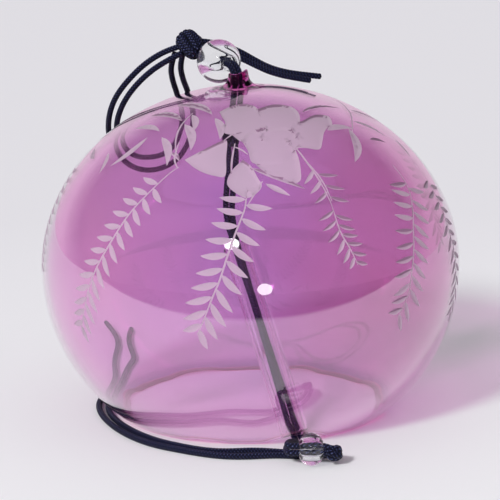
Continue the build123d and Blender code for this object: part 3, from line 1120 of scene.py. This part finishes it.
# The cut rim, a little uneven as if broken off and ground by hand: share of the wall, and lift
rim_rows = [(0.1, 0.00008), (0.3, 0.0), (0.7, 0.0), (0.92, 0.00008), (1.0, 0.0003)]
chip_height = 0.00009
chips = chip_height * abs(np.random.default_rng(11).uniform(-1, 1, (3, columns)))
points_of = {k: i for i, origin in enumerate(point_origins) for k in origin}
rim_ring = [points_of[k] for k in bottom[:-1]]
for (share, lift), row_chips in zip(rim_rows, np.pad(chips, ((1, 1), (0, 0)))):
    ring = []
    for i, azimuth in enumerate(column_angles):
        out, height = (a + (b - a) * share for a, b in zip(outer_edges[i], inner_edges[i]))
        ring.append(round_place(out, azimuth, height + (lift + row_chips[i])))
    rim_ring = add_ring(rim_ring, ring, rim_kind)

# The inner surface, from the rim up to the bore, where it shifts over to the neck
inner_radius = bell_radius - glass_wall
inner_crown = crown_reach - glass_wall
inner_rim = rim_reach - glass_wall
inner_rows = 72
bore_flare = 0.0029
shift_start = 0.025
shift_run = 0.018
turn_high = np.arccos(bore_flare / inner_radius)
for row in range(1, inner_rows + 1):
    ring = []
    for azimuth, (_, edge_height) in zip(column_angles, inner_edges):
        turn_low = np.arcsin((edge_height + edge_round - equator_height) / inner_rim)
        turn = turn_low + (turn_high - turn_low) * (row / inner_rows)
        out = inner_radius * cos(turn)
        blend = min(max((shift_start - out) / shift_run, 0.0), 1.0)
        x = out * sin(azimuth) + neck_x * blend * blend * (3 - 2 * blend)
        y = -out * cos(azimuth)
        rise = sqrt(max(0.0, 1 - (hypot(x, y) / inner_radius) ** 2))
        ring.append((x, y, equator_height + (inner_crown if turn > 0 else -inner_rim) * rise))
    rim_ring = add_ring(rim_ring, ring, inner_kind)

# The neck: pinched glass with an uneven lip, from its foot up, over and down the bore. Its outline:
# radius, then the shares of its height, of the lip's wave and of the flutes
neck_ring = [points_of[k] for k in top[:-1]]
neck_angles = [atan2(bell_points[k][0] - neck_x, -bell_points[k][1]) for k in neck_ring]
foot_heights = [bell_points[k][2] for k in neck_ring]
neck_outline = [
    (0.006, 0.01, 0, 0), (0.005, 0.05, 0, 0.1), (0.0042, 0.12, 0, 0.3),
    (0.0036, 0.23, 0.05, 0.5), (0.0031, 0.37, 0.1, 0.7), (0.0028, 0.52, 0.3, 0.9),
    (0.00262, 0.68, 0.6, 1), (0.0025, 0.84, 0.85, 1), (0.00245, 0.95, 1, 1),
    (0.0023, 1, 1, 0.6), (0.00215, 1, 1, 0.3), (0.00206, 0.96, 1, 0.1),
    (0.00202, 0.86, 0.8, 0), (bore_radius, 0.7, 0.3, 0), (bore_radius, 0.4, 0, 0),
    (bore_radius, 0, 0, 0), (0.00215, -0.2, 0, 0), (0.0024, -0.29, 0, 0),
]
neck_peak = 0.0011
neck_notch = 0.0005
peak_angle = radians(75)
neck_flute = 0.10
for radius, share, wave, flute in neck_outline:
    ring = []
    for angle, foot in zip(neck_angles, foot_heights):
        flutes = (cos(3 * angle + 0.6) + 0.5 * cos(5 * angle + 2.0)) / 1.5
        x, y, _ = round_place(radius * (1 + neck_flute * flute * flutes), angle, 0)
        toward_peak = 0.5 + 0.5 * cos(angle - peak_angle)
        height = foot + (neck_top - foot) * share + wave * (neck_peak * toward_peak**4 - neck_notch)
        ring.append((neck_x + x, y, height))
    neck_ring = add_ring(neck_ring, ring, neck_kind)
join_rings(neck_ring, rim_ring, neck_kind)


# Materials of the bell

cloud_scale = 26.0
cloud_reach = 0.5
lustre_colours = [
    (0.1, (0.92, 0.58, 0.84, 1)),
    (0.5, (0.80, 0.50, 0.84, 1)),
    (0.85, (0.80, 0.43, 0.68, 1)),
]

# Where the colour changes by height: start, full change and colour, for the foot, edge and crown
height_colours = [
    (0.024, 0.006, (0.94, 0.66, 0.88, 1)),
    (0.0030, 0.0014, (0.60, 0.30, 0.60, 1)),
    (0.066, 0.086, (0.90, 0.60, 0.82, 1)),
]
lamp_tint = (0.87, 0.71, 0.84, 1)


def wall_colour(material):
    """Uneven lustre: pink on one side, violet in the middle, deeper on the other, paler at the crown."""
    axes = add_node(material, "SeparateXYZ", (add_node(material, "TexCoord"), "Object"))
    across = rising(material, (axes, "X"), -bell_radius, bell_radius)
    clouded = work_out(material, "MULTIPLY_ADD", noise(material, cloud_scale), cloud_reach, across)
    centred = work_out(material, "SUBTRACT", clouded, cloud_reach / 2)
    colour = ramp(material, centred, lustre_colours)
    for start, full, height_colour in height_colours:
        colour = mixed(material, rising(material, (axes, "Z"), start, full), colour, height_colour)
    shade(material, Base_Color=colour)


lustre_grain = (60.0, 2.0, (1, 1, 0.35), 0.05, 0.0004)
lustre_outer = glass("lustre_outer", 0.0, 1.0, lustre_grain, lamp_tint)
shade(lustre_outer, Coat_Weight=1.0, Coat_Roughness=0.02, Coat_IOR=2.1)
lustre_inner = glass("lustre_inner", 0.0, 1.0, None, lamp_tint)
wall_colour(lustre_outer)
wall_colour(lustre_inner)

plain = (1, 1, 1)
cut_grain = (2200.0, 2.0, plain, 0.25, 0.00005)
cut_glass = glass("frosted_cut", 0.55, 0.35, cut_grain, None, Base_Color=(0.56, 0.42, 0.53, 1))
# The same frosted glass, darker for painted shade on the cuts' steep upper walls
shaded_cut_glass = glass("frosted_painted_shade", 0.55, 0.35, cut_grain, None, Base_Color=(0.30, 0.17, 0.27, 1))
rim_glass = glass("cut_rim", 0.3, 0.4, (900.0, 2.0, plain, 0.4, 0.0002), (0.75, 0.5, 0.7, 1))
shade(rim_glass, Base_Color=(0.92, 0.42, 0.60, 1))
neck_glass = glass("neck_glass", 0.03, 1.0, (420.0, 1.0, plain, 0.3, 0.0004), (0.5, 0.2, 0.4, 1))
shade(neck_glass, Base_Color=(0.66, 0.15, 0.44, 1))

# One glass for each kind of face, in the order of the kinds
glasses = [lustre_outer, cut_glass, lustre_inner, rim_glass, neck_glass, shaded_cut_glass]
bell = mesh_object("bell_glass", bell_points, bell_faces, glasses, bell_kinds)

# Crisp edges round the cuts, and true directions on the smooth glass
bell_mesh = bell.data
edge_kinds = [set() for _ in bell_mesh.edges]
directions = []
for polygon in bell_mesh.polygons:
    clear = polygon.material_index == clear_kind
    for corner in bell_mesh.loops[polygon.loop_start : polygon.loop_start + polygon.loop_total]:
        edge_kinds[corner.edge_index].add(polygon.material_index)
        directions.append(bell_normals[corner.vertex_index] if clear else (0, 0, 0))
sharp = [clear_kind in sides and bool(sides & {cut_kind, shaded_cut_kind}) for sides in edge_kinds]
bell_mesh.attributes.new("sharp_edge", "BOOLEAN", "EDGE").data.foreach_set("value", sharp)
bell_mesh.normals_split_custom_set(directions)

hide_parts("glass_bell")
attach(bell, "bell")

# The neck cords and the floor tails, their placing baked into their points
for name in ("neck_cord_a", "neck_cord_b"):
    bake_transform(pieces[name])
for name in ("floor_tail_a", "floor_tail_b"):
    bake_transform(pieces[name])
